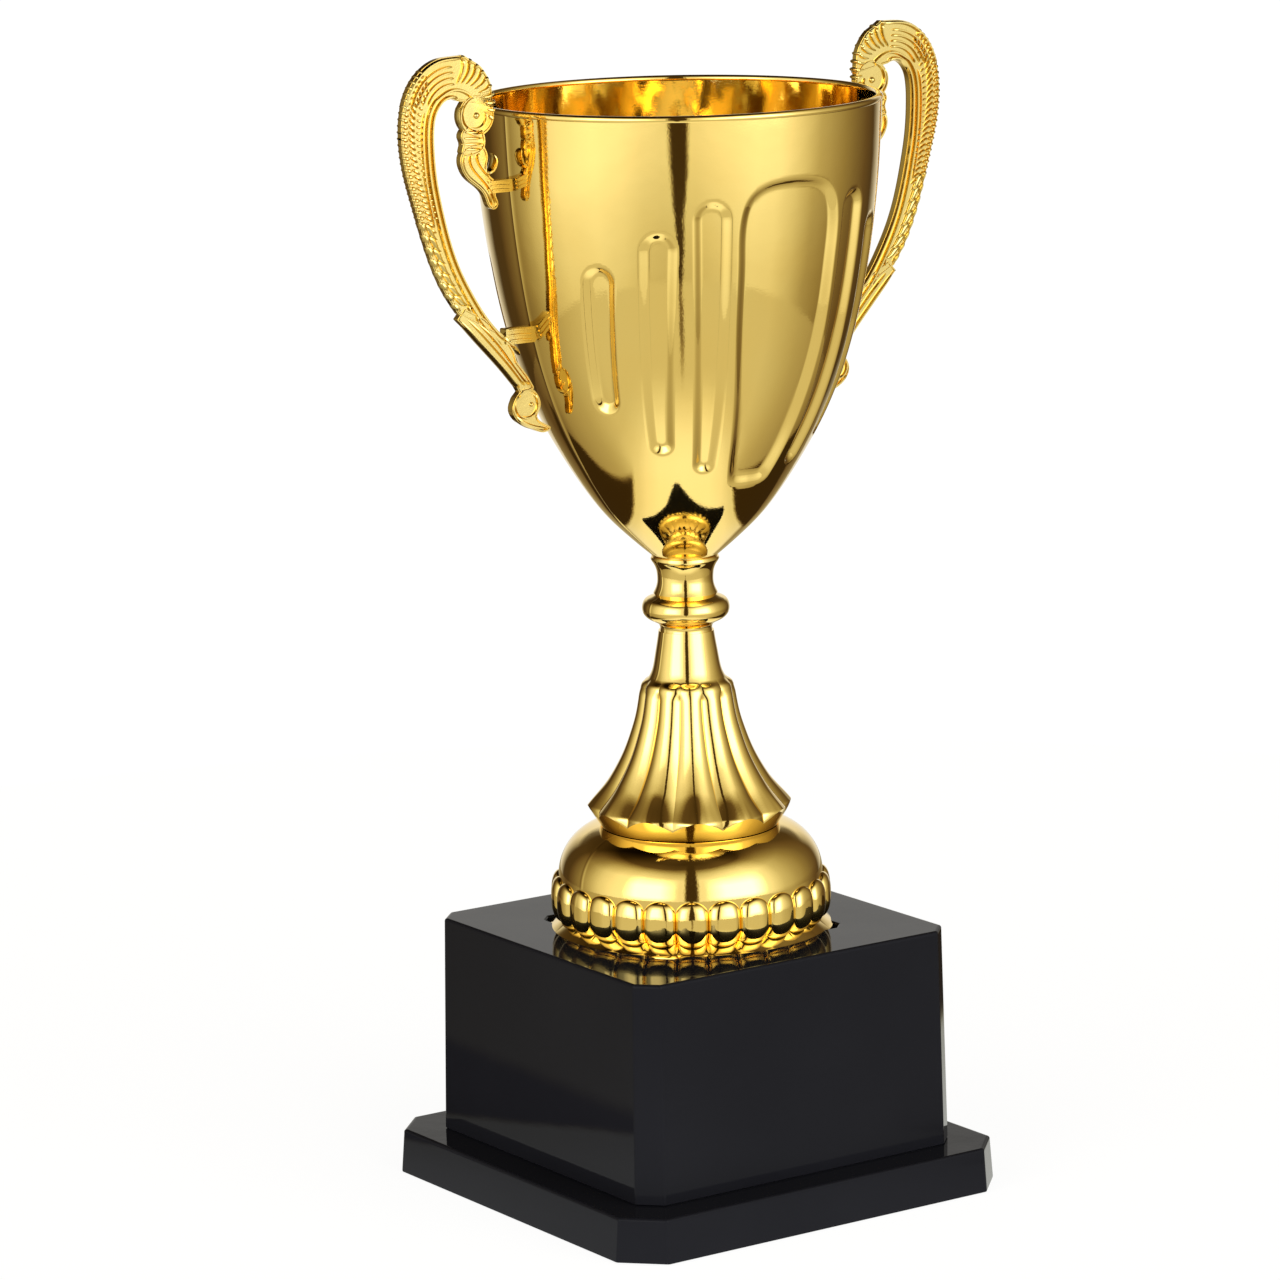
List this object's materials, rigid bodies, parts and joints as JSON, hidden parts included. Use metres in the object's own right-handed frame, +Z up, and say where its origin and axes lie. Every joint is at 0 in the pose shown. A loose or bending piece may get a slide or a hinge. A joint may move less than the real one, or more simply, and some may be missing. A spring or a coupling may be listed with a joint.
{
  "type": "cup trophy",
  "caption": "Plated two-handled award cup with scroll handles on a lobed bell stem, a beaded domed foot and a two-tier glossy black base.",
  "frame": {"origin": "centre of the underside of the lower base tier, on the surface it stands on", "axes": "+Z up along the cup's axis, X along the line of the two handles, the arched panels face -Y and +Y"},
  "size_m": [0.139, 0.1, 0.2504],
  "materials": {
    "gold_plate": "vacuum-plated mirror gold",
    "gold_handle": "vacuum-plated bright yellow gold",
    "black_gloss": "moulded high gloss black",
    "zinc_steel": "zinc plated"
  },
  "bodies": {
    "root": {"bowl": "gold_plate", "handle_left": "gold_handle", "handle_right": "gold_handle", "neck_spool": "gold_plate", "stem_bell": "gold_plate", "foot_dome": "gold_plate", "base_block": "black_gloss", "base_plinth": "black_gloss", "tie_rod": "zinc_steel", "bowl_washer": "zinc_steel", "bowl_nut": "zinc_steel", "base_washer": "zinc_steel", "base_nut": "zinc_steel", "plinth_screws": "zinc_steel"}
  },
  "joints": []
}
